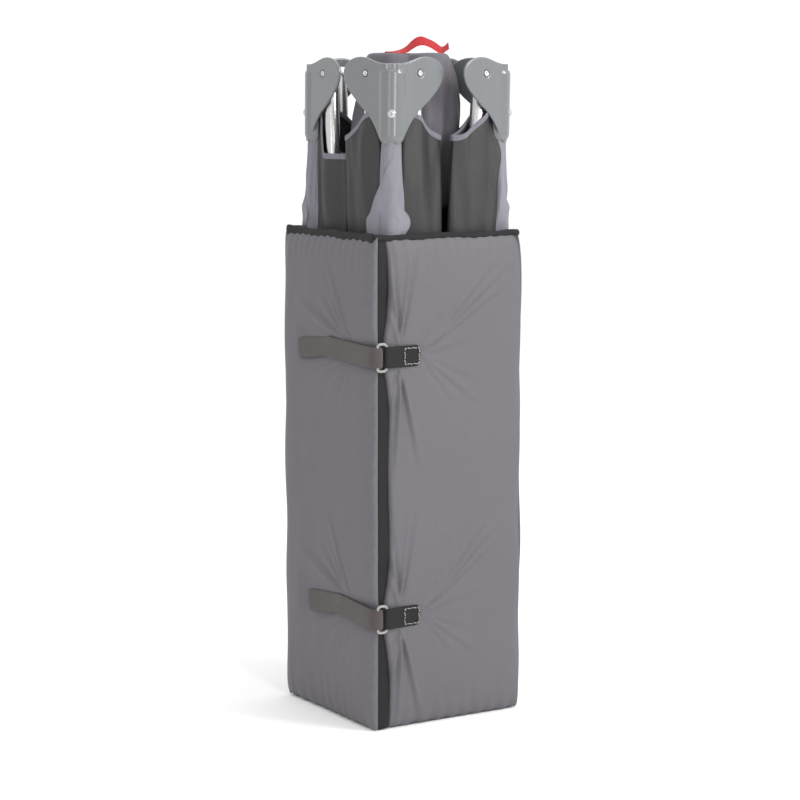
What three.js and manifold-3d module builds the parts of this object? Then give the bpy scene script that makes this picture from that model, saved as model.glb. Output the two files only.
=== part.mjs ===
// A travel cot, folded upright and wrapped in its own four-panel mattress, which two hook-and-loop
// straps hold shut. Millimetres, +Z up. Everything is drawn about the middle of the wrap.
// Front is -Y and left is -X. The mattress ends meet at the front-left corner, where the straps are.
// The frame is a linkage: four base bars run up from the feet to a hub, and eight half rails hang
// from the corner pieces and meet in pairs at four latches. Each half rail's length is the base
// bar's length along that side, so every joint of the frame turns by the same angle.
import * as THREE from "three";
import { mergeVertices } from "three/addons/utils/BufferGeometryUtils.js";
import Module from "manifold-3d";

// Mattress wrap
const WRAP_WIDTH = 210; // outside width of the wrapped mattress, both ways
const WRAP_HEIGHT = 578;
const PANEL_THICKNESS = 10;
const PANEL_CORNER_RADIUS = 9; // where the cover bends round a fold
const PANEL_GAP = 0.6; // between the mitred ends of two panels
const FREE_END_GAP = 2; // between the two ends that meet at the straps

// Folded frame
const FRAME_TURN = 4; // degrees that the frame sits turned inside the soft wrap
const FRAME_MARGIN = 18.5; // from a panel's inner face to the leg centre
const LEG_AXIS = WRAP_WIDTH / 2 - PANEL_THICKNESS - FRAME_MARGIN; // leg centre from the middle, both ways
const LEG_RADIUS = 9.5;
const LEG_BOTTOM = 12;
const LEG_TOP = 770;
const TUBE_WALL = 1.2;
const LONG_RAIL = 590; // half rail, pivot to pivot
const SHORT_RAIL = 290;
const FOLDED_SINE = 0.055; // sine of the angle between a folded rail or base bar and the vertical
const RAIL_RADIUS = 8.5;
const RAIL_OFFSET = 1.5; // rail centre outside the leg centre
const RAIL_REACH = 32; // rail pivot from the leg centre, along the side
const RAIL_PLANE = LEG_AXIS + RAIL_OFFSET;
const RAIL_PIVOT = LEG_AXIS - RAIL_REACH;
const RAIL_PIVOT_Z = 764;
const TUBE_OVERRUN = 8; // tube beyond each pivot
const PIN_RADIUS = 3;
const PIN_CLEARANCE = 0.4;

// Corner pieces, feet, hub, latches and base bars
const SHELL = 3;
const SOCKET_CLEARANCE = 0.4;
const CORNER_RIB_RADIUS = 15.5;
const CORNER_TOP = 775;
const CORNER_TIP = 684;
const CORNER_COLLAR = 735; // the socket closes all round the leg above this height
const SCREW_Z = 718;
const SCREW_HEAD_RADIUS = 4.8;
const SCREW_SHANK_RADIUS = 2.1;
const FOOT_RADIUS = 11.6;
const FOOT_HEIGHT = 82;
const FOOT_PIVOT = 48; // base bar pivot from the middle, both ways
const FOOT_PIVOT_Z = 62;
const BAR_RADIUS = 7.5;
const CHEEK = 2.5; // thickness of a clevis cheek
const CHEEK_GAP = 0.6; // between a cheek and the tube in it
const CHEEK_REACH = 8;
const LATCH_OVERHANG = 12; // housing beyond each pivot
const LATCH_DEPTH = 14; // from pivot to the housing's underside

// Fabric
const FABRIC_GAP = 0.6;
const LEG_SLEEVE = 1.4;
const RAIL_SLEEVE_INNER = LEG_AXIS - 10;
const RAIL_SLEEVE_OUTER = LEG_AXIS + 11.5;
const RAIL_SLEEVE_MIDDLE = 2; // nearest that a rail sleeve comes to the middle of its side
const RAIL_SLEEVE_EDGE = LEG_AXIS - 16.5;
const RAIL_SLEEVE_TOP = 722;
const HEM_DROP = 30; // the hem runs down from the corner piece to the middle of the side
const FLOOR_BUNDLE_HALF = RAIL_SLEEVE_INNER - 3.5;
const FLOOR_BUNDLE_WALL = 3;
const FLOOR_BUNDLE_BOTTOM = 604;
const FLOOR_BUNDLE_TOP = 792;

// Straps
const STRAP_HEIGHTS = { lower: 133, upper: 440 };
const WEBBING_WIDTH = 25;
const WEBBING_THICKNESS = 2.4;
const WEBBING_LENGTH = 47;
const TAPE_WIDTH = 25;
const TAPE_THICKNESS = 1.6;
const TAPE_LENGTH = 150;
const RING_BAR = 2.6;
const RING_SPAN = 12.4; // between its two bars
const RING_CLEARANCE = 2; // on each side of the webbing
const RING_INSIDE = WEBBING_WIDTH + 2 * RING_CLEARANCE;
const RING_INSET = 17; // ring pivot from the edge of the front panel
const RING_PIVOT_X = WRAP_WIDTH / 2 - RING_INSET;
const WEBBING_LOOP = 3.3;
const STRAP_LIFT = 0.4; // between a strap and the panel under it
const PULL_STRAP_SPAN = 56;
const PULL_STRAP_RISE = 12;
const PULL_STRAP_WIDTH = 20;
const PULL_STRAP_THICKNESS = 1.6;
const PULL_STRAP_TURN = -33; // degrees

const ROUND = 16; // sides of a tube
const UP = new THREE.Vector3(0, 0, 1);
const DEGREE = Math.PI / 180;
const cosine = Math.sqrt(1 - FOLDED_SINE ** 2);
const foldAngle = Math.asin(FOLDED_SINE);
const baseBar = Math.hypot(LONG_RAIL, SHORT_RAIL);
const half = WRAP_WIDTH / 2;
const longLean = LONG_RAIL * FOLDED_SINE;
const shortLean = SHORT_RAIL * FOLDED_SINE;
const hubPivot = new THREE.Vector3(
  FOOT_PIVOT - longLean,
  FOOT_PIVOT - shortLean,
  FOOT_PIVOT_Z + baseBar * cosine,
);
const ringLine = half + STRAP_LIFT + WEBBING_LOOP; // the ring's plane from the middle

const wasm = await Module();
wasm.setup();

const materials = {
  cover: new THREE.MeshStandardMaterial({ color: 0x77737a, roughness: 0.75 }),
  charcoal: new THREE.MeshStandardMaterial({ color: 0x474746, roughness: 0.6 }),
  piping: new THREE.MeshStandardMaterial({ color: 0x87848d, roughness: 0.8 }),
  plastic: new THREE.MeshStandardMaterial({ color: 0x888c8d, roughness: 0.45 }),
  steel: new THREE.MeshStandardMaterial({ color: 0xb9bcbc, roughness: 0.3, metalness: 0.9 }),
  black: new THREE.MeshStandardMaterial({ color: 0x2a2a2b, roughness: 0.8 }),
  tape: new THREE.MeshStandardMaterial({ color: 0x6f6764, roughness: 0.9 }),
  ring: new THREE.MeshStandardMaterial({ color: 0x9b9b96, roughness: 0.4 }),
  red: new THREE.MeshStandardMaterial({ color: 0xc81e24, roughness: 0.7 }),
};

// A closed three.js geometry as a solid that can be joined and cut.
function solid(geometry) {
  const bare = geometry.clone();
  bare.deleteAttribute("normal");
  bare.deleteAttribute("uv");
  const merged = mergeVertices(bare, 1e-4);
  return new wasm.Manifold(
    new wasm.Mesh({
      numProp: 3,
      vertProperties: merged.attributes.position.array,
      triVerts: new Uint32Array(merged.index.array),
    }),
  );
}

function geometryOf(made) {
  const mesh = made.getMesh();
  return new THREE.BufferGeometry()
    .setAttribute("position", new THREE.BufferAttribute(mesh.vertProperties, 3))
    .setIndex(new THREE.BufferAttribute(mesh.triVerts, 1));
}

function piece(name, made, material) {
  const mesh = new THREE.Mesh(geometryOf(made), material);
  mesh.name = name;
  return mesh;
}

// A cylinder between two points.
function rod(from, to, radius, sides = ROUND) {
  const along = to.clone().sub(from);
  const turn = new THREE.Quaternion().setFromUnitVectors(UP, along.clone().normalize());
  return solid(
    new THREE.CylinderGeometry(radius, radius, along.length(), sides)
      .rotateX(Math.PI / 2)
      .applyQuaternion(turn)
      .translate(...from.clone().addScaledVector(along, 0.5)),
  );
}

function block(low, high) {
  return solid(
    new THREE.BoxGeometry(high[0] - low[0], high[1] - low[1], high[2] - low[2]).translate(
      (low[0] + high[0]) / 2,
      (low[1] + high[1]) / 2,
      (low[2] + high[2]) / 2,
    ),
  );
}

// A plan outline raised from one height to another.
function raise(shape, bottom, top, curveSegments = 6) {
  const settings = { depth: top - bottom, bevelEnabled: false, curveSegments };
  return solid(new THREE.ExtrudeGeometry(shape, settings).translate(0, 0, bottom));
}

const at = (x, y, z) => new THREE.Vector3(x, y, z);

// A hollow tube between two pivots, with a pin staked through each end.
function tubeWithPins(from, to, radius, pinAlong, fromPin, toPin) {
  const along = to.clone().sub(from).normalize();
  const ends = [from.clone().addScaledVector(along, -TUBE_OVERRUN), to.clone().addScaledVector(along, TUBE_OVERRUN)];
  const past = [ends[0].clone().addScaledVector(along, -1), ends[1].clone().addScaledVector(along, 1)];
  const tube = rod(...ends, radius).subtract(rod(...past, radius - TUBE_WALL));
  const pin = (centre, reach, back) =>
    rod(
      centre.clone().addScaledVector(pinAlong, -back),
      centre.clone().addScaledVector(pinAlong, reach),
      PIN_RADIUS,
      12,
    );
  return tube.add(pin(from, ...fromPin)).add(pin(to, ...toPin));
}

// Leg: a round steel tube with a hole for the corner screw, drilled along the corner's diagonal.
const outward = at(1, 1, 0).normalize();
const screwCentre = at(LEG_AXIS, LEG_AXIS, SCREW_Z);

function leg() {
  const bottom = at(LEG_AXIS, LEG_AXIS, LEG_BOTTOM);
  const top = at(LEG_AXIS, LEG_AXIS, LEG_TOP);
  const bore = rod(bottom.clone().setZ(LEG_BOTTOM - 1), top.clone().setZ(LEG_TOP + 1), LEG_RADIUS - TUBE_WALL);
  const hole = rod(
    screwCentre.clone().addScaledVector(outward, LEG_RADIUS / 2),
    screwCentre.clone().addScaledVector(outward, LEG_RADIUS * 2),
    SCREW_SHANK_RADIUS + PIN_CLEARANCE,
    12,
  );
  return rod(bottom, top, LEG_RADIUS).subtract(bore).subtract(hole);
}

// Corner piece: a moulded shell with a socket over the leg and a lobe down each side of the cot.
// The lobe's outline is drawn with u from the leg's axis towards the middle of the side.
function lobeOutline() {
  const lobe = new THREE.Shape();
  lobe.moveTo(0, CORNER_TIP);
  lobe.bezierCurveTo(7, 686, 11, 701, 22, 712);
  lobe.bezierCurveTo(32, 723, 45, 730, 56, 741);
  lobe.bezierCurveTo(64, 748, 69, 756, 69, 764);
  lobe.bezierCurveTo(69, 777, 53, 783, 40, 783);
  lobe.bezierCurveTo(26, 783, 16, CORNER_TOP, 0, CORNER_TOP);
  return lobe;
}

function lobe(alongX) {
  const outer = LEG_AXIS + CORNER_RIB_RADIUS - 0.5;
  const plate = new THREE.ExtrudeGeometry(lobeOutline(), { depth: SHELL, bevelEnabled: false, curveSegments: 5 });
  plate.rotateX(Math.PI / 2); // u, -depth, z
  plate.scale(-1, 1, 1);
  plate.setIndex([...Array(plate.attributes.position.count).keys()].reverse());
  plate.translate(LEG_AXIS, outer, 0);
  const pivot = at(RAIL_PIVOT, outer, RAIL_PIVOT_Z);
  const hole = rod(
    pivot.clone().setY(outer - 2 * SHELL),
    pivot.clone().setY(outer + SHELL),
    PIN_RADIUS + PIN_CLEARANCE,
    12,
  );
  const made = solid(plate).subtract(hole);
  return alongX ? made : made.transform([0, 1, 0, 0, 1, 0, 0, 0, 0, 0, 1, 0, 0, 0, 0, 1]);
}

function cornerPiece() {
  const axis = (z) => at(LEG_AXIS, LEG_AXIS, z);
  const rib = rod(axis(CORNER_TIP), axis(CORNER_TOP), CORNER_RIB_RADIUS, 24);
  const socket = rod(axis(CORNER_TIP - 1), axis(LEG_TOP + 1), LEG_RADIUS + SOCKET_CLEARANCE, 24);
  const behind = LEG_AXIS - 2 * CORNER_RIB_RADIUS;
  const open = block([behind, behind, CORNER_TIP - 1], [LEG_AXIS, LEG_AXIS, CORNER_COLLAR]);
  const openLeft = block([behind, behind, CORNER_TIP - 1], [LEG_AXIS - 4, LEG_AXIS + LEG_RADIUS, CORNER_COLLAR]);
  const openRight = block([behind, behind, CORNER_TIP - 1], [LEG_AXIS + LEG_RADIUS, LEG_AXIS - 4, CORNER_COLLAR]);
  const seatDepth = CORNER_RIB_RADIUS - 1.2;
  const seat = rod(
    screwCentre.clone().addScaledVector(outward, seatDepth),
    screwCentre.clone().addScaledVector(outward, 2 * CORNER_RIB_RADIUS),
    SCREW_HEAD_RADIUS + PIN_CLEARANCE,
  );
  const hole = rod(screwCentre, screwCentre.clone().addScaledVector(outward, 20), SCREW_SHANK_RADIUS + PIN_CLEARANCE, 12);
  return rib
    .add(lobe(true))
    .add(lobe(false))
    .subtract(socket)
    .subtract(open)
    .subtract(openLeft)
    .subtract(openRight)
    .subtract(seat)
    .subtract(hole);
}

// Screw: a pan head in its seat on the rib, and a shank into the leg.
function cornerScrew() {
  const seat = screwCentre.clone().addScaledVector(outward, CORNER_RIB_RADIUS - 0.9);
  const shank = rod(
    screwCentre.clone().addScaledVector(outward, LEG_RADIUS - 3),
    seat.clone().addScaledVector(outward, 0.5),
    SCREW_SHANK_RADIUS,
    12,
  );
  const head = rod(seat, seat.clone().addScaledVector(outward, 2.2), SCREW_HEAD_RADIUS);
  const slot = (wide, tall) =>
    solid(
      new THREE.BoxGeometry(wide, 2.4, tall)
        .rotateZ(-Math.PI / 4)
        .translate(...seat.clone().addScaledVector(outward, 2.4)),
    );
  return head.add(shank).subtract(slot(5, 1)).subtract(slot(1, 5));
}

// The vertical plane that a base bar folds in, and the pin's direction across it.
const barPlan = at(LONG_RAIL, SHORT_RAIL, 0).normalize();
const barPin = at(-barPlan.y, barPlan.x, 0);
const cheekReachAcross = BAR_RADIUS + CHEEK_GAP + CHEEK;

// Two cheeks either side of a base bar's end, drilled for its pin.
function barCheeks(pivot, bottom, top) {
  const turn = Math.atan2(barPlan.y, barPlan.x);
  const cheek = (side) => {
    const centre = pivot.clone().addScaledVector(barPin, side * (cheekReachAcross - CHEEK / 2));
    return solid(
      new THREE.BoxGeometry(2 * CHEEK_REACH, CHEEK, top - bottom)
        .rotateZ(turn)
        .translate(centre.x, centre.y, (top + bottom) / 2),
    );
  };
  const hole = rod(
    pivot.clone().addScaledVector(barPin, -2 * cheekReachAcross),
    pivot.clone().addScaledVector(barPin, 2 * cheekReachAcross),
    PIN_RADIUS + PIN_CLEARANCE,
    12,
  );
  return cheek(-1).add(cheek(1)).subtract(hole);
}

// Foot: a cup under the leg, with a clevis on its inner side for the base bar.
function foot() {
  const pivot = at(FOOT_PIVOT, FOOT_PIVOT, FOOT_PIVOT_Z);
  const cheekBottom = FOOT_PIVOT_Z - TUBE_OVERRUN - 9;
  const cup = rod(at(LEG_AXIS, LEG_AXIS, 0), at(LEG_AXIS, LEG_AXIS, FOOT_HEIGHT), FOOT_RADIUS);
  const bore = rod(
    at(LEG_AXIS, LEG_AXIS, LEG_BOTTOM - SOCKET_CLEARANCE),
    at(LEG_AXIS, LEG_AXIS, FOOT_HEIGHT + 1),
    LEG_RADIUS + SOCKET_CLEARANCE,
  );
  const shelf = block([FOOT_PIVOT - 10, FOOT_PIVOT - 10, cheekBottom - 5], [LEG_AXIS, LEG_AXIS, cheekBottom]);
  return cup
    .add(shelf)
    .add(barCheeks(pivot, cheekBottom - 1, FOOT_PIVOT_Z + CHEEK_REACH))
    .subtract(bore);
}

function baseBarTube() {
  const reach = [cheekReachAcross, cheekReachAcross];
  return tubeWithPins(at(FOOT_PIVOT, FOOT_PIVOT, FOOT_PIVOT_Z), hubPivot, BAR_RADIUS, barPin, reach, reach);
}

// Half rail along X (long side) or Y (short side), hanging from its corner piece.
const latchReach = RAIL_RADIUS + CHEEK_GAP + CHEEK;

function railEnds(alongX) {
  const length = alongX ? LONG_RAIL : SHORT_RAIL;
  const middle = RAIL_PIVOT - length * FOLDED_SINE;
  const place = (along, z) => (alongX ? at(along, RAIL_PLANE, z) : at(RAIL_PLANE, along, z));
  return [place(RAIL_PIVOT, RAIL_PIVOT_Z), place(middle, RAIL_PIVOT_Z - length * cosine)];
}

function rail(alongX) {
  const across = alongX ? at(0, 1, 0) : at(1, 0, 0);
  const headReach = LEG_AXIS + CORNER_RIB_RADIUS - 1.2 - RAIL_PLANE;
  return tubeWithPins(...railEnds(alongX), RAIL_RADIUS, across, [headReach, RAIL_RADIUS], [latchReach, latchReach]);
}

// Rail sleeve: the part of the cot's side that hangs round a half rail, with a sloping hem.
function railSleeve(alongX) {
  const [top, bottom] = railEnds(alongX);
  const foot = bottom.z + LATCH_DEPTH + 8;
  const outline = new THREE.Shape();
  outline.moveTo(RAIL_SLEEVE_MIDDLE, foot);
  outline.lineTo(RAIL_SLEEVE_EDGE, foot);
  outline.lineTo(RAIL_SLEEVE_EDGE, RAIL_SLEEVE_TOP);
  outline.quadraticCurveTo(RAIL_SLEEVE_EDGE / 2, RAIL_SLEEVE_TOP - HEM_DROP, RAIL_SLEEVE_MIDDLE, RAIL_SLEEVE_TOP - HEM_DROP);
  const depth = RAIL_SLEEVE_OUTER - RAIL_SLEEVE_INNER;
  const slab = new THREE.ExtrudeGeometry(outline, { depth, bevelEnabled: false, curveSegments: 5 });
  slab.rotateX(Math.PI / 2).translate(0, RAIL_SLEEVE_OUTER, 0);
  const swap = [0, 1, 0, 0, 1, 0, 0, 0, 0, 0, 1, 0, 0, 0, 0, 1];
  const made = alongX ? solid(slab) : solid(slab).transform(swap);
  const channel = rod(top.clone().lerp(bottom, -0.1), top.clone().lerp(bottom, 1.1), RAIL_RADIUS + FABRIC_GAP);
  return made.subtract(channel);
}

// Leg sleeve: the fabric corner post of the cot, round the leg below the corner piece.
function legSleeve() {
  const ring = (radius, spare) =>
    rod(at(LEG_AXIS, LEG_AXIS, FOOT_HEIGHT + 4 - spare), at(LEG_AXIS, LEG_AXIS, CORNER_TIP - 2 + spare), radius);
  const inner = LEG_RADIUS + FABRIC_GAP;
  return ring(inner + LEG_SLEEVE, 0).subtract(ring(inner, 1));
}

// Latch: a channel that joins two half rails at the middle of a side; they fold up out of it.
function latch(alongX) {
  const [, pivot] = railEnds(alongX);
  const along = alongX ? pivot.x : pivot.y;
  const reach = along + LATCH_OVERHANG;
  const bottom = pivot.z - LATCH_DEPTH;
  const box = (low, high) => (alongX ? block(low, high) : block([low[1], low[0], low[2]], [high[1], high[0], high[2]]));
  const outer = box([-reach, RAIL_PLANE - latchReach, bottom], [reach, RAIL_PLANE + latchReach, pivot.z + CHEEK_REACH]);
  const hollow = box(
    [-reach - 1, RAIL_PLANE - latchReach + CHEEK, bottom + CHEEK],
    [reach + 1, RAIL_PLANE + latchReach - CHEEK, pivot.z + CHEEK_REACH + 1],
  );
  const hole = (side) => {
    const end = (across) => (alongX ? at(side * along, across, pivot.z) : at(across, side * along, pivot.z));
    return rod(end(RAIL_PLANE - 2 * latchReach), end(RAIL_PLANE + 2 * latchReach), PIN_RADIUS + PIN_CLEARANCE, 12);
  };
  return outer.subtract(hollow).subtract(hole(1)).subtract(hole(-1));
}

// Hub: a cap plate with a clevis for each base bar.
function hub() {
  const top = hubPivot.z + TUBE_OVERRUN + 4;
  const plate = new THREE.Shape();
  plate.absellipse(0, 0, hubPivot.x + 18, hubPivot.y + 13, 0, 2 * Math.PI);
  let made = raise(plate, top, top + 7);
  const clevis = barCheeks(hubPivot, hubPivot.z - CHEEK_REACH, top + 1);
  for (const [sx, sy] of [[1, 1], [-1, 1], [-1, -1], [1, -1]]) {
    made = made.add(clevis.scale([sx, sy, 1]));
  }
  return made;
}

// Floor bundle: the cot's floor cloth, gathered over the hub in a rounded bag that is open below.
function floorBundle() {
  const bag = (inset, bottom) => {
    const wide = FLOOR_BUNDLE_HALF - inset;
    const top = FLOOR_BUNDLE_TOP - 4 * inset;
    const profile = [
      [0, bottom],
      [wide - 1, bottom],
      [wide, (bottom + top) / 2],
      [wide - 3, top - 60],
      [wide - 11, top - 22],
      [wide - 22, top - 4],
      [0, top],
    ];
    return solid(new THREE.LatheGeometry(profile.map(([r, z]) => new THREE.Vector2(r, z)), 20).rotateX(Math.PI / 2));
  };
  return bag(0, FLOOR_BUNDLE_BOTTOM).subtract(bag(FLOOR_BUNDLE_WALL, FLOOR_BUNDLE_BOTTOM - 1));
}

// Pull strap: a webbing arch sewn on the middle of the floor cloth, lifted to fold the cot.
function pullStrap() {
  const arch = new THREE.Shape();
  const foot = FLOOR_BUNDLE_TOP + 0.4;
  const inner = PULL_STRAP_RISE - PULL_STRAP_THICKNESS;
  const end = PULL_STRAP_SPAN / 2;
  arch.moveTo(-end, foot);
  arch.lineTo(10 - end, foot);
  arch.quadraticCurveTo(12 - end, foot + inner, 0, foot + inner);
  arch.quadraticCurveTo(end - 12, foot + inner, end - 10, foot);
  arch.lineTo(end, foot);
  arch.lineTo(end, foot + PULL_STRAP_THICKNESS);
  arch.lineTo(end - 9, foot + PULL_STRAP_THICKNESS);
  arch.quadraticCurveTo(end - 11, foot + PULL_STRAP_RISE, 0, foot + PULL_STRAP_RISE);
  arch.quadraticCurveTo(11 - end, foot + PULL_STRAP_RISE, 9 - end, foot + PULL_STRAP_THICKNESS);
  arch.lineTo(-end, foot + PULL_STRAP_THICKNESS);
  const settings = { depth: PULL_STRAP_WIDTH, bevelEnabled: false, curveSegments: 6 };
  const band = new THREE.ExtrudeGeometry(arch, settings).translate(0, 0, -PULL_STRAP_WIDTH / 2);
  return solid(band.rotateX(Math.PI / 2).rotateZ(PULL_STRAP_TURN * DEGREE));
}

// Mattress panel, drawn as the back one: a board from corner to corner with mitred ends. The gap at
// its left end is wider where that end is free.
function panel(leftGap) {
  const inner = half - PANEL_THICKNESS;
  const near = PANEL_CORNER_RADIUS * 0.3;
  const right = PANEL_GAP / 2;
  const left = leftGap / 2;
  const outline = new THREE.Shape();
  outline.moveTo(inner - right, inner);
  outline.lineTo(half - near - right, half - near);
  outline.quadraticCurveTo(half - PANEL_CORNER_RADIUS * 0.5, half, half - PANEL_CORNER_RADIUS, half);
  outline.lineTo(PANEL_CORNER_RADIUS - half, half);
  outline.quadraticCurveTo(PANEL_CORNER_RADIUS * 0.5 - half, half, near - half + left, half - near);
  outline.lineTo(left - inner, inner);
  return raise(outline, 0, WRAP_HEIGHT, 4);
}

// Webbing: a doubled black strap sewn on the front panel, with a loop round the ring's inner bar.
function webbing(z) {
  const face = -half - STRAP_LIFT;
  const bottom = z - WEBBING_WIDTH / 2;
  const top = z + WEBBING_WIDTH / 2;
  const tail = block([-RING_PIVOT_X, face - WEBBING_THICKNESS, bottom], [-RING_PIVOT_X + WEBBING_LENGTH, face, top]);
  const column = (radius, spare) =>
    rod(at(-RING_PIVOT_X, -ringLine, bottom - spare), at(-RING_PIVOT_X, -ringLine, top + spare), radius);
  return tail.add(column(WEBBING_LOOP, 0)).subtract(column(WEBBING_LOOP - 1.2, 1));
}

// Ring: a moulded rectangular loop at the corner, seen edge on, between the webbing and the tape.
function ring(z) {
  const inner = RING_INSIDE / 2;
  const outer = inner + RING_BAR;
  const left = -RING_PIVOT_X - RING_SPAN - RING_BAR / 2;
  const right = -RING_PIVOT_X + RING_BAR / 2;
  const near = -ringLine - RING_BAR / 2;
  const far = -ringLine + RING_BAR / 2;
  return block([left, near, z - outer], [right, far, z + outer]).subtract(
    block([left + RING_BAR, near - 1, z - inner], [right - RING_BAR, far + 1, z + inner]),
  );
}

// Tape: the hook-and-loop strap on the left panel. It passes over the ring's outer bar at the corner.
function tape(z) {
  const outside = -half - STRAP_LIFT - TAPE_THICKNESS;
  const cradle = -RING_PIVOT_X - RING_SPAN - RING_BAR / 2 - 0.8;
  const outline = new THREE.Shape();
  outline.moveTo(outside, TAPE_LENGTH - half);
  outline.lineTo(outside, 6 - half);
  outline.quadraticCurveTo(outside, -half - 3, cradle - TAPE_THICKNESS, -ringLine - 2);
  outline.lineTo(cradle, -ringLine - 2);
  outline.quadraticCurveTo(outside + TAPE_THICKNESS, -half - 2, outside + TAPE_THICKNESS, 6 - half);
  outline.lineTo(outside + TAPE_THICKNESS, TAPE_LENGTH - half);
  return raise(outline, z - TAPE_WIDTH / 2, z + TAPE_WIDTH / 2);
}

const cot = new THREE.Group();
const frame = new THREE.Group();
frame.rotation.z = FRAME_TURN * DEGREE;
cot.add(frame);

// One quarter of the frame, built for the back right corner and mirrored to the other three.
const corners = { back_right: [1, 1], back_left: [-1, 1], front_left: [-1, -1], front_right: [1, -1] };
const quarter = {
  leg: [leg(), materials.steel],
  leg_sleeve: [legSleeve(), materials.piping],
  corner_piece: [cornerPiece(), materials.plastic],
  corner_screw: [cornerScrew(), materials.steel],
  foot: [foot(), materials.plastic],
  base_bar: [baseBarTube(), materials.steel],
  long_rail: [rail(true), materials.steel],
  short_rail: [rail(false), materials.steel],
  long_rail_sleeve: [railSleeve(true), materials.charcoal],
  short_rail_sleeve: [railSleeve(false), materials.charcoal],
};
for (const [corner, [sx, sy]] of Object.entries(corners)) {
  const place = new THREE.Group();
  place.scale.set(sx, sy, 1);
  for (const [name, [made, material]] of Object.entries(quarter)) {
    place.add(piece(`${name}_${corner}`, made, material));
  }
  frame.add(place);
}

// Latches: one on each side of the cot.
for (const [side, alongX, turn] of [["back", true, 1], ["front", true, -1], ["right", false, 1], ["left", false, -1]]) {
  const housing = piece(`latch_${side}`, latch(alongX), materials.plastic);
  housing.rotation.z = turn > 0 ? 0 : Math.PI;
  frame.add(housing);
}

frame.add(piece("hub", hub(), materials.plastic));
frame.add(piece("floor_bundle", floorBundle(), materials.piping));
frame.add(piece("pull_strap", pullStrap(), materials.red));

// Mattress panels: the back and right ones run from fold to fold, the other two have a free end.
const whole = panel(PANEL_GAP);
const ended = panel(FREE_END_GAP);
const panels = { back: [whole, 0], left: [ended, 90], front: [ended.mirror([1, 0, 0]), 180], right: [whole, 270] };
for (const [side, [made, degrees]] of Object.entries(panels)) {
  const board = piece(`mattress_${side}`, made, materials.cover);
  board.rotation.z = degrees * DEGREE;
  cot.add(board);
}

for (const [name, z] of Object.entries(STRAP_HEIGHTS)) {
  cot.add(piece(`strap_webbing_${name}`, webbing(z), materials.black));
  cot.add(piece(`strap_ring_${name}`, ring(z), materials.ring));
  cot.add(piece(`strap_tape_${name}`, tape(z), materials.tape));
}

// The origin is on the floor, at the middle of the overall box.
const middle = new THREE.Box3().setFromObject(cot, true).getCenter(new THREE.Vector3());
cot.position.set(-middle.x, -middle.y, 0);

export default cot;
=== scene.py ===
import math

import bmesh
import bpy
import numpy as np
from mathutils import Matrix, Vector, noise


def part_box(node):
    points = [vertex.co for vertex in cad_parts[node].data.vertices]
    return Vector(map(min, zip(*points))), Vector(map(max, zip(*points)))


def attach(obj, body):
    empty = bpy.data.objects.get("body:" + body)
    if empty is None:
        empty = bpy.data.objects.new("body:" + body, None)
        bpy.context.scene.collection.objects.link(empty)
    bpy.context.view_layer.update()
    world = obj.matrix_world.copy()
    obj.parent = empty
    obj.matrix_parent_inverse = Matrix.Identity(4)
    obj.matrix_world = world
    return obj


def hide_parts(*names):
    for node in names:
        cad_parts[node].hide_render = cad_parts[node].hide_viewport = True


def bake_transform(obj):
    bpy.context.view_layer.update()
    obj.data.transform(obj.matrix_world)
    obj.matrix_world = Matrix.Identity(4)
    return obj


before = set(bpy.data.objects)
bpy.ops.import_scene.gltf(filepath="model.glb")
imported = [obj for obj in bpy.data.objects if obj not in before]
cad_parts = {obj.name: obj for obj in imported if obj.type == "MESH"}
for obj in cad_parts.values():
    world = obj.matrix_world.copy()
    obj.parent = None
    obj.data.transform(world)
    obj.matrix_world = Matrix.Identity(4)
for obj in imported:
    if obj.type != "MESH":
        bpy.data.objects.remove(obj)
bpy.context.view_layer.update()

# Studio and camera. The cot stands on a pale floor that fades into a white room, under large soft
# lights, and is seen from a little above its top with the strapped corner towards the viewer.
camera = bpy.data.objects.new("camera", bpy.data.cameras.new("camera"))
bpy.context.collection.objects.link(camera)
camera.data.lens = 105.6
camera.data.sensor_width = 36
camera.data.clip_end = 60
camera.location = (-1.4893, -2.3877, 0.7523)
camera.rotation_euler = (math.radians(90 - 7.683), 0, math.radians(-31.894))
bpy.context.scene.camera = camera
bpy.context.scene.view_settings.view_transform = "Standard"


def soft_light(name, spot, size, power, aim=(0, 0, 0.4)):
    lamp = bpy.data.objects.new(name, bpy.data.lights.new(name, "AREA"))
    bpy.context.collection.objects.link(lamp)
    lamp.data.shape = "RECTANGLE"
    lamp.data.size, lamp.data.size_y = size
    lamp.data.energy = power
    lamp.location = spot
    away = np.array(spot) - np.array(aim)
    flat = math.hypot(away[0], away[1])
    lamp.rotation_euler = (math.atan2(flat, away[2]), 0, math.atan2(away[0], -away[1]))


soft_light("key_light", (0.95, -1.35, 1.5), (0.7, 0.9), 23, (0, 0, 0.55))
soft_light("right_strip", (-0.3, -2.2, 1.0), (0.26, 1.3), 11, (-0.05, -0.08, 0.7))
soft_light("left_strip", (-1.85, -1.3, 1.0), (0.2, 1.3), 4, (-0.08, -0.05, 0.7))
soft_light("top_light", (0.2, -0.1, 2.4), (1.6, 1.6), 8)
world = bpy.data.worlds.new("room")
world.use_nodes = True
world.node_tree.nodes["Background"].inputs["Color"].default_value = (1, 1, 1, 1)
world.node_tree.nodes["Background"].inputs["Strength"].default_value = 1.09
bpy.context.scene.world = world


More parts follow.
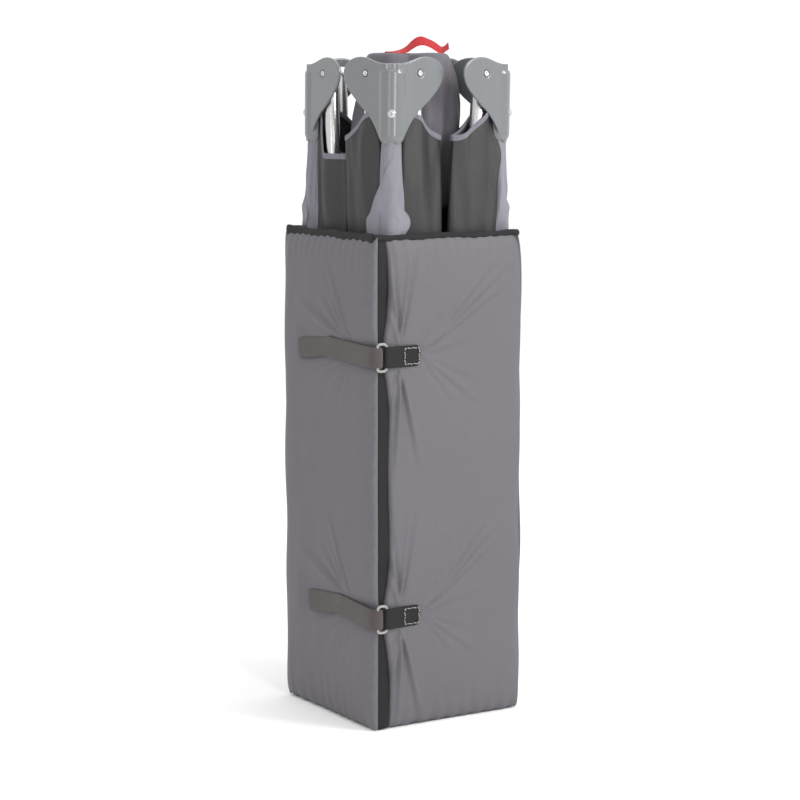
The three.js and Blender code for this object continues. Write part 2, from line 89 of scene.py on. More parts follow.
# Every piece is a skin drawn through rings of points, closed at both ends, and smoothed.
def skin(name, rings, material, ring_closed=True, smooth=1, cloth_thickness=0):
    rings = np.asarray(rings, float)
    count, around = rings.shape[:2]
    build = bmesh.new()
    points = [[build.verts.new(point) for point in ring] for ring in rings]
    for low, high in zip(points[:-1], points[1:]):
        for i in range(around if ring_closed else around - 1):
            j = (i + 1) % around
            build.faces.new((low[i], low[j], high[j], high[i]))
    if ring_closed and not cloth_thickness:
        build.faces.new(points[0][::-1])
        build.faces.new(points[-1])
    bmesh.ops.recalc_face_normals(build, faces=build.faces)
    mesh = bpy.data.meshes.new(name)
    build.to_mesh(mesh)
    build.free()
    made = bpy.data.objects.new(name, mesh)
    bpy.context.collection.objects.link(made)
    mesh.shade_smooth()
    mesh.materials.append(material)
    if cloth_thickness:
        layer = made.modifiers.new("thickness", "SOLIDIFY")
        layer.thickness, layer.offset = cloth_thickness, -1
    if smooth:
        rounded = made.modifiers.new("rounded", "SUBSURF")
        rounded.levels = rounded.render_levels = smooth
    return made


def node(tree, kind, inputs=None, **settings):
    made = tree.nodes.new(kind)
    for key, value in settings.items():
        setattr(made, key, value)
    for key, value in (inputs or {}).items():
        if isinstance(value, bpy.types.NodeSocket):
            tree.links.new(value, made.inputs[key])
        else:
            made.inputs[key].default_value = value
    return made


def effect(name, inputs, outputs):
    group = bpy.data.node_groups.new(name, "ShaderNodeTree")
    for socket, value in inputs.items():
        kind = "NodeSocketColor" if isinstance(value, tuple) else "NodeSocketFloat"
        group.interface.new_socket(name=socket, in_out="INPUT", socket_type=kind).default_value = value
    for socket, kind in outputs.items():
        group.interface.new_socket(name=socket, in_out="OUTPUT", socket_type=kind)
    return group, node(group, "NodeGroupInput").outputs, node(group, "NodeGroupOutput").inputs


def shade(colour, amount):
    return tuple(min(1, c * amount) for c in colour) + (1,)


# Surface wear on hard parts: fine scuffs drawn out along the height, and polished edges.
wear, given, gives = effect(
    "hard_wear",
    {"Scuff Size": 60.0},
    {"Scuff": "NodeSocketFloat", "Edge": "NodeSocketFloat", "Grain": "NodeSocketFloat"},
)
place = node(wear, "ShaderNodeTexCoord").outputs["Object"]
drawn = node(wear, "ShaderNodeVectorMath", {0: place, 1: (1, 1, 0.12)}, operation="MULTIPLY").outputs[0]
scuff = node(
    wear, "ShaderNodeTexNoise",
    {"Vector": drawn, "Scale": given["Scuff Size"], "Detail": 5, "Roughness": 0.65},
)
grain = node(wear, "ShaderNodeTexNoise", {"Vector": place, "Scale": 2200, "Detail": 1}).outputs["Fac"]
sharp = node(wear, "ShaderNodeNewGeometry").outputs["Pointiness"]
edge = node(wear, "ShaderNodeMapRange", {"Value": sharp, 1: 0.52, 2: 0.6}).outputs[0]
for made_of, socket in ((scuff.outputs["Fac"], "Scuff"), (edge, "Edge"), (grain, "Grain")):
    wear.links.new(made_of, gives[socket])


def hard(name, colour, roughness, metal, edge_colour, grain_depth, scuff_size=60.0, variation=0.06):
    made = bpy.data.materials.new(name)
    made.use_nodes = True
    tree = made.node_tree
    surface = tree.nodes["Principled BSDF"]
    marks = node(tree, "ShaderNodeGroup", {}, node_tree=wear)
    marks.inputs["Scuff Size"].default_value = scuff_size
    body = node(tree, "ShaderNodeMix", {"Factor": marks.outputs["Scuff"]}, data_type="RGBA")
    body.inputs[6].default_value = shade(colour, 1 - variation)
    body.inputs[7].default_value = shade(colour, 1 + variation)
    rubbed = node(
        tree, "ShaderNodeMix", {"Factor": marks.outputs["Edge"], 6: body.outputs[2]}, data_type="RGBA"
    )
    rubbed.inputs[7].default_value = tuple(edge_colour) + (1,)
    tree.links.new(rubbed.outputs[2], surface.inputs["Base Color"])
    scuffed = node(
        tree, "ShaderNodeMapRange",
        {"Value": marks.outputs["Scuff"], 3: roughness - 0.08, 4: roughness + 0.1},
    )
    tree.links.new(scuffed.outputs[0], surface.inputs["Roughness"])
    surface.inputs["Metallic"].default_value = metal
    bumped = node(
        tree, "ShaderNodeBump", {"Height": marks.outputs["Grain"], "Strength": 0.3, "Distance": grain_depth}
    )
    tree.links.new(bumped.outputs[0], surface.inputs["Normal"])
    return made


floor_paint = hard("floor_paint", (0.92, 0.92, 0.92), 0.8, 0, (0.92, 0.92, 0.92), 0.00002, 3.0, 0.004)
floor_paint.node_tree.nodes["Principled BSDF"].inputs["Specular IOR Level"].default_value = 0.1
floor_rings = [[(-9, -9, -0.0015), (9, -9, -0.0015)], [(-9, 9, -0.0015), (9, 9, -0.0015)]]
floor = skin("floor", floor_rings, floor_paint, False, 0)

# Legs and base bars: round steel tube, bright plated, cut square. The legs stand in the feet and go
# up into the corner pieces; the base bars run from the feet to the hub.
plated_steel = hard("plated_steel", (0.47, 0.48, 0.48), 0.26, 1, (0.6, 0.6, 0.6), 0.00001, 90.0)
corners = {"back_right": (1, 1), "back_left": (-1, 1), "front_left": (-1, -1), "front_right": (1, -1)}


def coat(cad_node, material):
    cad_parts[cad_node].data.materials.clear()
    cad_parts[cad_node].data.materials.append(material)


for corner in corners:
    coat(f"base_bar_{corner}", plated_steel)

# Feet, hub and latch housings: grey moulded plastic. Each is pinned to the tubes that meet in it.
grey_plastic = hard("grey_plastic", (0.122, 0.129, 0.134), 0.3, 0, (0.185, 0.193, 0.2), 0.00003)
gloss = grey_plastic.node_tree.nodes["Principled BSDF"].inputs
gloss["Coat Weight"].default_value, gloss["Coat Roughness"].default_value = 0.7, 0.16
latches = ["latch_back", "latch_front", "latch_left", "latch_right"]
for moulding in [f"foot_{corner}" for corner in corners] + ["hub"] + latches:
    coat(moulding, grey_plastic)

# Half rails: plated steel tube with a pivot rivet through each end, whose heads are rolled over.
# The frame sits turned a little inside the wrap, so its pieces are drawn square and then turned.
middle = np.array([0.001, 0.0035, 0])
frame_turn = math.radians(4)
leg_axis, leg_radius, rib_radius = 0.0765, 0.0095, 0.0155
rail_radius, steel_wall = 0.0085, 0.0012
twists = {(1, 1): 3, (-1, 1): -2, (-1, -1): 7.5, (1, -1): 8}


def in_frame(points, sx=0, sy=0):
    drawn = np.asarray(points, float) * ((sx or 1), (sy or 1), 1)
    x, y, z = drawn[..., 0], drawn[..., 1], drawn[..., 2]
    if sx:
        twist = math.radians(twists[sx, sy]) * np.clip((z - 0.5) / 0.18, 0, 1)
        x, y = x - sx * leg_axis, y - sy * leg_axis
        x, y = x * np.cos(twist) - y * np.sin(twist), x * np.sin(twist) + y * np.cos(twist)
        x, y = x + sx * leg_axis, y + sy * leg_axis
    c, s = math.cos(frame_turn), math.sin(frame_turn)
    lean = np.clip(z - 0.2, 0, 1) / 0.56
    return np.stack([x * c - y * s + 0.0055 * lean, x * s + y * c - 0.0034 * lean, z], -1) + middle


def turned_rings(path, radii, sides):
    path = np.asarray(path, float)
    along = np.gradient(path, axis=0)
    along /= np.linalg.norm(along, axis=1)[:, None]
    reach = path[-1] - path[0]
    side = np.cross(along, (0, 0, 1) if abs(reach[2]) < 0.5 * np.linalg.norm(reach) else (1, 0, 0))
    side /= np.linalg.norm(side, axis=1)[:, None]
    other = np.cross(along, side)
    angle = np.arange(sides) * 2 * math.pi / sides
    spread = np.cos(angle)[None, :, None] * side[:, None] + np.sin(angle)[None, :, None] * other[:, None]
    return path[:, None] + spread * np.asarray(radii, float)[:, None, None]


def tube(low, high, radius, sides=32):
    low, high = np.array(low), np.array(high)
    unit = (high - low) / np.linalg.norm(high - low)
    inner = radius - steel_wall
    stops = [(low + unit * 0.03, inner), (low, inner), (low, radius - 0.0003), (low + unit * 0.0004, radius)]
    stops += [
        (high - unit * 0.0004, radius), (high, radius - 0.0003), (high, inner), (high - unit * 0.03, inner)
    ]
    flat = np.cross(unit, (0.3, 0.2, 0.9) if abs(unit[2]) < 0.8 else (0, 1, 0))
    flat /= np.linalg.norm(flat)
    other = np.cross(unit, flat)
    angle = np.arange(sides) * 2 * math.pi / sides
    spread = np.cos(angle)[:, None] * flat + np.sin(angle)[:, None] * other
    return [np.array(spot) + spread * r for spot, r in stops]


rail_pivot, rail_plane, rail_height, rail_lean = 0.0445, 0.078, 0.764, 0.055
past_pivot = 0.008
for corner, (sx, sy) in corners.items():
    # a short tube, cut in two and drawn out to the leg's length, with rings between its halves
    short = tube((leg_axis, leg_axis, 0.012), (leg_axis, leg_axis, 0.4), leg_radius)
    between = [short[4] + (0, 0, z - 0.4) for z in (0.2, 0.3, 0.5, 0.68)]
    rings = short[:4] + between + [ring + (0, 0, 0.37) for ring in short[4:]]
    leg = skin(f"leg_tube_{corner}", in_frame(rings, sx, sy), plated_steel, smooth=0)
    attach(leg, f"leg_{corner}")
    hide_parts(f"leg_{corner}")
    for kind, length in (("long", 0.59), ("short", 0.29)):
        top = np.array([rail_pivot, rail_plane, rail_height])
        unit = np.array([rail_lean, 0, math.sqrt(1 - rail_lean**2)])
        swap = (lambda p: p) if kind == "long" else (lambda p: np.asarray(p)[..., [1, 0, 2]])
        rings = tube(top - unit * (length + past_pivot), top + unit * past_pivot, rail_radius)
        rail = skin(
            f"rail_tube_{kind}_{corner}", in_frame(swap(np.array(rings)), sx, sy), plated_steel, smooth=0
        )
        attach(rail, f"{kind}_rail_{corner}")
        profile = [
            (-0.0105, 0.0001), (-0.0105, 0.003), (0.0100, 0.003), (0.0104, 0.0036), (0.0119, 0.0035),
            (0.0126, 0.0026),
        ]
        profile += [(0.0124, 0.0018), (0.0116, 0.0013), (0.0112, 0.0001)]
        circle = np.arange(24) * 2 * math.pi / 24
        rivet_rings = [
            [top + (r * math.cos(a), reach, r * math.sin(a)) for a in circle] for reach, r in profile
        ]
        rivet = skin(
            f"rivet_{kind}_{corner}", in_frame(swap(np.array(rivet_rings)), sx, sy), plated_steel, smooth=0
        )
        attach(rivet, f"{kind}_rail_{corner}")
        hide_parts(f"{kind}_rail_{corner}")

# Corner pieces: thick grey mouldings with a rib over the leg and a lobe down each side, blended
# where they meet. Each is held to its leg by one cross-head screw, and carries two rail rivets.
def lobe_outline():
    spans = [
        ((0, 684), (7, 686), (11, 701), (22, 712)),
        ((22, 712), (32, 723), (45, 730), (56, 741)),
        ((56, 741), (64, 748), (69, 756), (69, 764)),
        ((69, 764), (69, 777), (53, 783), (40, 783)),
        ((40, 783), (26, 783), (16, 775), (0, 775)),
    ]
    outline = []
    for a, b, c, d in spans:
        for t in np.linspace(0, 1, 10)[:-1]:
            weights = ((1 - t) ** 3, 3 * t * (1 - t) ** 2, 3 * t * t * (1 - t), t**3)
            outline.append(sum(w * np.array(p, float) for w, p in zip(weights, (a, b, c, d))))
    return np.array(outline + [np.array((0, 775.0))]) / 1000


def joined(name, solids, voxel, passes):
    target = solids[0]
    bpy.context.view_layer.objects.active = target
    for made in bpy.context.selected_objects:
        made.select_set(False)
    for made in solids:
        made.select_set(True)
    bpy.ops.object.join()
    target.name = name
    remesh = target.modifiers.new("remesh", "REMESH")
    remesh.mode = "VOXEL"
    remesh.voxel_size = voxel
    soften = target.modifiers.new("soften", "SMOOTH")
    soften.factor, soften.iterations = 0.5, passes
    with_all = bpy.context.evaluated_depsgraph_get()
    final = bpy.data.meshes.new_from_object(target.evaluated_get(with_all))
    target.modifiers.clear()
    target.data = final
    final.shade_smooth()
    return target


screw_height, half_root = 0.718, math.sqrt(0.5)
for corner, (sx, sy) in corners.items():
    outer = leg_axis + rib_radius - 0.0017
    solids = []
    for flip in (False, True):
        outline = lobe_outline()
        rim = np.vstack([outline, [(-0.004, 0.775), (-0.004, 0.684)]])
        layers = [
            np.stack([leg_axis - rim[:, 0], np.full(len(rim), outer - back), rim[:, 1]], -1)
            for back in (0, 0.0034)
        ]
        if flip:
            layers = [layer[:, [1, 0, 2]] for layer in layers]
        solids.append(skin("lobe", layers, grey_plastic, smooth=0))
    angle = np.linspace(-0.25 * math.pi - 0.35, 0.75 * math.pi + 0.35, 40)
    arc = np.stack([np.cos(angle), np.sin(angle)], -1)
    rib = []
    for z, shrink in (
        (0.6835, 0.007), (0.685, 0.0038), (0.688, 0.0015), (0.692, 0.0002), (0.764, 0), (0.7665, 0.0006),
        (0.768, 0.003), (0.7745, 0.0036),
    ):
        out = leg_axis + arc * (rib_radius - shrink)
        back = leg_axis + arc[::-1] * 0.0112
        rib.append([(x, y, z) for x, y in np.vstack([out, back])])
    solids.append(skin("rib", rib, grey_plastic, smooth=0))
    cap = [
        [(leg_axis + r * x, leg_axis + r * y, z) for x, y in arc]
        for z, r in ((0.7712, 0.0115), (0.7712, 0.0125), (0.7752, 0.0125))
    ]
    solids.append(skin("cap", cap, grey_plastic, smooth=0))
    shell = joined(f"corner_moulding_{corner}", solids, 0.0009, 5)
    points = np.array([v.co for v in shell.data.vertices])
    for flat_axis, along in ((1, 0), (0, 1)):
        off = np.hypot(points[:, along] - rail_pivot, points[:, 2] - rail_height)
        front = points[:, flat_axis] > outer - 0.0008
        points[:, flat_axis] -= front * 0.0022 * np.clip((0.0052 - off) / 0.0012, 0, 1)
    if corner == "front_right":
        # its side lobe has sprung inwards a little
        bend = math.radians(18) * np.clip((leg_axis - points[:, 1] - 0.012) / 0.006, 0, 1)
        x, y = points[:, 0] - leg_axis, points[:, 1] - leg_axis
        points[:, 0] = leg_axis + x * np.cos(bend) + y * np.sin(bend)
        points[:, 1] = leg_axis - x * np.sin(bend) + y * np.cos(bend)
    placed = in_frame(points, sx, sy)
    shell.data.vertices.foreach_set("co", placed.ravel())
    if sx * sy < 0:
        shell.data.flip_normals()
    shell.data.update()
    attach(shell, f"leg_{corner}")
    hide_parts(f"corner_piece_{corner}")
    # screw: a domed head with a cross recess, driven in square to the rib's diagonal
    sweep = np.arange(64) * 2 * math.pi / 64
    screw = []
    for r in (
        0.0001, 0.0004, 0.0007, 0.001, 0.0013, 0.0016, 0.0019, 0.0022, 0.0026, 0.0032, 0.0038, 0.0043,
        0.0046, 0.0047,
    ):
        arm = np.minimum(abs(np.sin(sweep)), abs(np.cos(sweep))) * r
        cut = np.clip((0.00055 - arm) / 0.0002, 0, 1) * np.clip((0.0025 - r) / 0.0005, 0, 1)
        height = 0.0021 * (1 - (r / 0.0052) ** 2.4) - 0.0012 * cut
        screw.append(np.stack([r * np.cos(sweep + 0.3), r * np.sin(sweep + 0.3), height], -1))
    screw.append(np.stack([0.0046 * np.cos(sweep), 0.0046 * np.sin(sweep), np.full(64, -0.0012)], -1))
    screw = np.array(screw)
    base = leg_axis + (rib_radius - 0.0002) * half_root
    along_x = base + (screw[..., 0] + screw[..., 2]) * half_root
    along_y = base + (screw[..., 2] - screw[..., 0]) * half_root
    screw = np.stack([along_x, along_y, screw_height + screw[..., 1]], -1)
    head = skin(f"screw_head_{corner}", in_frame(screw, sx, sy), plated_steel, smooth=0)
    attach(head, f"leg_{corner}")
    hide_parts(f"corner_screw_{corner}")

# Leg sleeves: light grey woven fabric sewn into a post round each leg, a little loose, so that it
# hangs in upright folds. It is caught under the corner piece and tucks into the foot.
def wave_of(tree, along, pitch):
    turns = node(tree, "ShaderNodeMath", {0: along, 1: pitch}, operation="DIVIDE").outputs[0]
    angle = node(tree, "ShaderNodeMath", {0: turns, 1: 2 * math.pi}, operation="MULTIPLY").outputs[0]
    return node(tree, "ShaderNodeMath", {0: angle}, operation="SINE").outputs[0]


# Plain weave, for every cloth: threads crossing over and under, and the unevenness of the yarn.
weave, given, gives = effect(
    "plain_weave",
    {"Pitch": 0.0009, "Unevenness": 0.3},
    {"Height": "NodeSocketFloat", "Thread": "NodeSocketFloat"},
)
place = node(weave, "ShaderNodeTexCoord").outputs["Object"]
axes = node(weave, "ShaderNodeSeparateXYZ", {0: place}).outputs
across = node(weave, "ShaderNodeMath", {0: axes[0], 1: axes[1]}, operation="ADD").outputs[0]
warp = wave_of(weave, across, given["Pitch"])
weft = wave_of(weave, axes[2], given["Pitch"])
crossing = node(weave, "ShaderNodeMath", {0: warp, 1: weft}, operation="MULTIPLY").outputs[0]
yarn = node(weave, "ShaderNodeTexNoise", {"Vector": place, "Scale": 900, "Detail": 2}).outputs["Fac"]
uneven = node(weave, "ShaderNodeMath", {0: yarn, 1: given["Unevenness"]}, operation="MULTIPLY").outputs[0]
weave.links.new(
    node(weave, "ShaderNodeMath", {0: crossing, 1: uneven}, operation="ADD").outputs[0], gives["Height"]
)
weave.links.new(yarn, gives["Thread"])

# Handling marks: broad clouding where cloth has been folded and handled, with finer soft creases.
handling, given, gives = effect(
    "handling_marks",
    {"Cloud Size": 9.0, "Crease Size": 26.0},
    {"Cloud": "NodeSocketFloat", "Crease": "NodeSocketFloat"},
)
place = node(handling, "ShaderNodeTexCoord").outputs["Object"]
cloud = node(handling, "ShaderNodeTexNoise", {"Vector": place, "Scale": given["Cloud Size"], "Detail": 4})
bent = node(handling, "ShaderNodeTexNoise", {"Vector": place, "Scale": 5, "Detail": 2}).outputs["Color"]
push = (0.12, 0.12, 0.12)
pushed = node(handling, "ShaderNodeVectorMath", {0: bent, 1: push}, operation="MULTIPLY").outputs[0]
drawn = node(handling, "ShaderNodeVectorMath", {0: place, 1: pushed}, operation="ADD").outputs[0]
crease = node(
    handling,
    "ShaderNodeTexNoise",
    {"Vector": drawn, "Scale": given["Crease Size"], "Detail": 3, "Roughness": 0.4},
    noise_type="RIDGED_MULTIFRACTAL",
)
handling.links.new(cloud.outputs["Fac"], gives["Cloud"])
handling.links.new(crease.outputs["Fac"], gives["Crease"])


def cloth(name, colour, pitch, roughness, sheen, weave_depth, crease_depth, variation=0.14):
    made = bpy.data.materials.new(name)
    made.use_nodes = True
    tree = made.node_tree
    surface = tree.nodes["Principled BSDF"]
    threads = node(tree, "ShaderNodeGroup", {}, node_tree=weave)
    threads.inputs["Pitch"].default_value = pitch
    marks = node(tree, "ShaderNodeGroup", {}, node_tree=handling)
    clouded = node(tree, "ShaderNodeMix", {"Factor": marks.outputs["Cloud"]}, data_type="RGBA")
    clouded.inputs[6].default_value = shade(colour, 1 - variation)
    clouded.inputs[7].default_value = shade(colour, 1 + variation)
    speckled = node(
        tree, "ShaderNodeMix", {"Factor": 0.22, 6: clouded.outputs[2], 7: threads.outputs["Thread"]},
        data_type="RGBA",
        blend_type="OVERLAY",
    )
    tree.links.new(speckled.outputs[2], surface.inputs["Base Color"])
    worn = node(
        tree, "ShaderNodeMapRange",
        {"Value": marks.outputs["Cloud"], 3: roughness - 0.09, 4: roughness + 0.09},
    )
    tree.links.new(worn.outputs[0], surface.inputs["Roughness"])
    surface.inputs["Specular IOR Level"].default_value = 0.22
    surface.inputs["Sheen Weight"].default_value = sheen
    surface.inputs["Sheen Roughness"].default_value = 0.4
    folds = node(
        tree, "ShaderNodeBump",
        {"Height": marks.outputs["Crease"], "Strength": 0.35, "Distance": crease_depth},
    )
    bumped = node(
        tree, "ShaderNodeBump",
        {
            "Height": threads.outputs["Height"], "Strength": 0.5, "Distance": weave_depth,
            "Normal": folds.outputs[0],
        },
    )
    tree.links.new(bumped.outputs[0], surface.inputs["Normal"])
    return made


post_cloth = cloth("post_cloth", (0.185, 0.178, 0.206), 0.0008, 0.62, 0.06, 0.00012, 0.0016)
clear_of_leg = 0.0112
for number, (corner, (sx, sy)) in enumerate(corners.items()):
    around = np.arange(120) * 2 * math.pi / 120
    rings = []
    for z in np.linspace(0.086, 0.69, 130):
        loose = np.clip((0.69 - z) / 0.06, 0, 1) * (0.2 + 0.8 * np.clip((z - 0.5) / 0.07, 0, 1))
        fold = (
            0.0012 * np.sin(5 * around + 1.7 * math.sin(z * 21 + number))
            + 0.0006 * np.sin(11 * around + z * 55 + number)
        )
        radius = clear_of_leg + 0.0016 * loose + fold * loose
        x, y = radius * np.cos(around), radius * np.sin(around)
        # the spare cloth of the post swings out to one side as a flap, folded once down its length
        opened = np.clip((0.672 - z) / 0.075, 0, 1) ** 1.25
        closed = np.clip((z - 0.5) / 0.08, 0, 1)
        flap = 0.034 * opened * closed * (corner == "front_left")
        flap += 0.012 * np.exp(-(((z - 0.594) / 0.016) ** 2)) * (corner != "front_left")
        apart = (around - math.radians(45) + math.pi) % (2 * math.pi) - math.pi
        window = np.clip(1.35 - abs(apart) / 0.75, 0, 1) * min(1, flap / 0.006)
        side_lift = (
            0.0139 + 0.0016 * np.tanh(apart * 7)
            + 0.0018 * np.sin(z * 75 + 60 * flap * np.clip(1 - abs(apart) / 0.8, 0, 1))
        )
        x = x * (1 - window) + window * side_lift
        y = y - flap * np.clip(1 - abs(apart) / 0.85, 0, 1)
        small = 0.010 * np.exp(-(((z - 0.593) / 0.013) ** 2)) * (corner == "front_left")
        other = (around - math.radians(110) + math.pi) % (2 * math.pi) - math.pi
        lump = np.exp(-((other / 0.4) ** 2))
        x, y = x - small * lump * 1.2, y + 0.2 * small * lump
        rumple = np.array([noise.noise((a * 90 + number, b * 70, z * 34)) for a, b in zip(x, y)])
        pinch = np.array(
            [1 - 2.4 * abs(noise.noise((a * 46 + 3, b * 46 + number, (z - b) * 15))) for a, b in zip(x, y)]
        )
        swell = 1 + (0.07 * rumple + 0.11 * pinch) * loose
        x, y = x * swell, y * swell
        clear = np.maximum(1, clear_of_leg / np.hypot(x, y))
        x, y = x * clear, y * clear
        height = np.full(120, z) + 0.002 * np.sin(around * 9 + z * 140) * min(1, flap * 60)
        rings.append(np.stack([leg_axis + x, leg_axis + y, height], -1))
    post = skin(f"leg_cloth_{corner}", in_frame(rings, sx, sy), post_cloth, cloth_thickness=0.0006)
    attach(post, f"leg_{corner}")
    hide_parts(f"leg_sleeve_{corner}")

# Side fabric: charcoal polyester that wraps each half rail like a flattened tube. Its top edge is
# bound in light grey tape and slopes from under the corner piece to the middle of the side.
side_cloth = cloth("side_cloth", (0.024, 0.0236, 0.0232), 0.0008, 0.46, 0.02, 0.0001, 0.0022, 0.12)
side_cloth.node_tree.nodes["Principled BSDF"].inputs["Specular IOR Level"].default_value = 0.38
hem_tape = cloth("hem_tape", (0.155, 0.149, 0.176), 0.0007, 0.7, 0.05, 0.00015, 0.0006)
for number, (corner, (sx, sy)) in enumerate(corners.items()):
    for kind in ("long", "short"):
        low, high = 0.197 if kind == "long" else 0.4965, 0.722
        seed = number * 7 + (kind == "short") * 3
        open_top = (corner, kind) == ("back_left", "short")
        wide = 0.016 if corner == "front_right" else 0.006
        around = np.arange(80) * 2 * math.pi / 80
        slab = []
        for level in np.linspace(0, 1, 90):
            ring = []
            for a in around:
                u = math.copysign(abs(math.cos(a)) ** 0.55, math.cos(a))
                v = math.copysign(abs(math.sin(a)) ** 0.8, math.sin(a))
                ease = min(1, (0.5 - 0.5 * u) * (2.6 if open_top else 1))
                top = high - (0.052 if open_top else 0.030) * (3 * ease**2 - 2 * ease**3)
                z = low + (top - low) * level
                over_leg = wide * (0.5 + 0.5 * u) ** 2 * np.clip((top - z) / 0.05, 0, 1)
                x = 0.031 + 0.029 * u + over_leg
                rail_x = rail_pivot - (rail_height - z) * rail_lean
                near = np.exp(-(((x - rail_x) / 0.011) ** 2))
                puff = 0.0068 + 0.0050 * near
                rough = noise.noise((x * 30 + seed, v * 1.5, z * 11 + seed))
                sag = (z + 1.1 * x * (1 if seed % 2 else -1)) * 17
                fold = noise.noise((x * 70 + sag * 0.6 + seed * 2.3, v, sag * 0.35))
                sharp = 1 - 2 * abs(noise.noise((x * 24 - sag * 0.25 + seed, v * 0.5, sag * 0.3)))
                depth = (
                    v * (puff + 0.0026 * rough)
                    + abs(v) * (0.0034 * fold + 0.0050 * (sharp - 0.5)) * (1 if v > 0 else 0.3)
                )
                depth = max(depth, 0.0112 * near * v) if v > 0 else depth
                depth = min(depth, 0.0100 + 0.03 * np.clip((z - 0.545) / 0.05, 0, 1))
                ring.append((x, 0.0778 + depth + over_leg * 0.33, z))
            slab.append(ring)
        slab = np.array(slab)
        swap = [0, 1, 2] if kind == "long" else [1, 0, 2]
        sleeve = skin(
            f"side_cloth_{kind}_{corner}", in_frame(slab[..., swap], sx, sy), side_cloth,
            cloth_thickness=0.0006,
        )
        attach(sleeve, f"{kind}_rail_{corner}")
        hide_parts(f"{kind}_rail_sleeve_{corner}")
        rim = slab[89]
        outward = np.stack([rim[:, 0] - 0.031, (rim[:, 1] - 0.0773) * 3, rim[:, 2] * 0], -1)
        outward /= np.linalg.norm(outward, axis=1)[:, None]
        wavy = 0.0002 * np.sin(around * 31)[:, None]
        band = [
            rim - (0, 0, 0.0068) + outward * (0.0003 + wavy),
            rim - (0, 0, 0.0062) + outward * (0.0011 + wavy),
            rim - (0, 0, 0.0010) + outward * (0.0012 + wavy),
            rim + (0, 0, 0.0006) + outward * 0.0003,
            rim + (0, 0, 0.0004) - outward * 0.0012,
            rim - (0, 0, 0.0040) - outward * 0.0014,
        ]
        band = np.array(band).transpose(1, 0, 2)
        hem = skin(f"hem_{kind}_{corner}", in_frame(np.vstack([band, band[:1]])[..., swap], sx, sy), hem_tape)
        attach(hem, f"{kind}_rail_{corner}")

# Floor cloth: the cot's grey floor, gathered up over the hub in a bag with deep upright folds and a
# flat top where the hub's plate holds it out.
floor_cloth = cloth("floor_cloth", (0.112, 0.106, 0.121), 0.0009, 0.55, 0.05, 0.00012, 0.0018)
around = np.arange(200) * 2 * math.pi / 200
bag_profile = [
    (0.604, 0.050), (0.606, 0.0565), (0.64, 0.0605), (0.67, 0.0625), (0.70, 0.064), (0.73, 0.0625),
    (0.755, 0.0585),
    (0.768, 0.0545), (0.779, 0.0505), (0.7855, 0.0475), (0.788, 0.0445), (0.7885, 0.036), (0.7880, 0.022),
    (0.7876, 0.004),
]
bag = []
for z, radius in bag_profile:
    loose = max(0.0, min(1.0, (0.787 - z) / 0.05)) * min(1, radius / 0.03)
    wander = around + 0.16 * math.sin(z * 31) + 0.05 * np.sin(3 * around + z * 60)
    deep = 1 - 2 * abs(np.sin(3.5 * wander + 0.8 * math.sin(z * 14))) ** 0.6
    fold = 0.0042 * deep + 0.0018 * np.sin(15 * wander + z * 23)
    oval = 1 + 0.045 * np.cos(2 * (around + 0.55))
    r = radius * oval * 0.97 + fold * loose + 0.0008 * np.sin(9 * around) * (z > 0.77)
    hollow = np.exp(-(((around - math.radians(236) + math.pi) % (2 * math.pi) - math.pi) / 0.42) ** 2)
    r = r - 0.016 * hollow * np.clip((z - 0.745) / 0.03, 0, 1) * min(1, radius / 0.04)
    height = z - 0.002 * hollow * (z > 0.78) * np.ones(200)
    bag.append(np.stack([r * np.cos(around), r * np.sin(around), height], -1))
bundle = skin("floor_bag", in_frame(bag), floor_cloth, cloth_thickness=0.0008)
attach(bundle, "hub")
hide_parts("floor_bundle")

# Pull strap: red polyester webbing, sewn at both ends to the middle of the floor cloth. It stands
# up in a loose arch with its free end curling.
red_webbing = cloth("red_webbing", (0.42, 0.007, 0.012), 0.0011, 0.55, 0.05, 0.0003, 0.0006, 0.2)


def ribbon(name, path, width_line, width, thick, material, bow=0.0, stretch=1.0):
    path = np.asarray(path, float)
    across = np.broadcast_to(np.asarray(width_line, float), path.shape)
    across = across / np.linalg.norm(across, axis=1)[:, None] * stretch
    along = np.gradient(path, axis=0)
    along /= np.linalg.norm(along, axis=1)[:, None]
    up = np.cross(across, along)
    up /= np.linalg.norm(up, axis=1)[:, None]
    steps = np.linspace(-0.5, 0.5, 9)
    edge = np.sqrt(np.clip(1 - (2 * steps) ** 8, 0.06, 1))
    offsets = [(s * width, e * thick / 2 + bow * (1 - 4 * s * s)) for s, e in zip(steps, edge)]
    offsets += [(s * width, -e * thick / 2 + bow * (1 - 4 * s * s)) for s, e in zip(steps[::-1], edge[::-1])]
    rings = [[p + a * s + u * h for s, h in offsets] for p, a, u in zip(path, across, up)]
    return skin(name, rings, material)


turn = math.radians(-29)
reach = np.array([math.cos(turn), math.sin(turn), 0])
arch = [
    (-27, 0.9, 0), (-20, 0.9, 2), (-13, 1.1, 8), (-6, 1.8, 16), (0, 4.2, 24), (5, 8.6, 30), (10, 12.2, 33),
    (15, 14.2, 34),
    (20, 14.0, 32), (25, 12.0, 30), (30, 9.8, 32), (35, 6.6, 34), (39, 3.8, 30), (42, 3.2, 24),
    (46, 5.4, 20), (49, 8.2, 24), (50, 9.4, 30),
]
dense = []
for i in range(len(arch) - 1):
    for t in (0, 0.5):
        dense.append(np.array(arch[i]) * (1 - t) + np.array(arch[i + 1]) * t)
path = np.array(
    [middle + (0.0055, -0.0034, 0) + reach * u / 1000 + (0, 0, 0.7883 + h / 1000) for u, h, _ in dense]
)
sides = np.array(
    [
        (
            -reach[1] * math.cos(math.radians(a)), reach[0] * math.cos(math.radians(a)),
            math.sin(math.radians(a)),
        )
        for _, _, a in dense
    ]
)
pull = ribbon("pull_webbing", path, sides, 0.02, 0.0015, red_webbing)
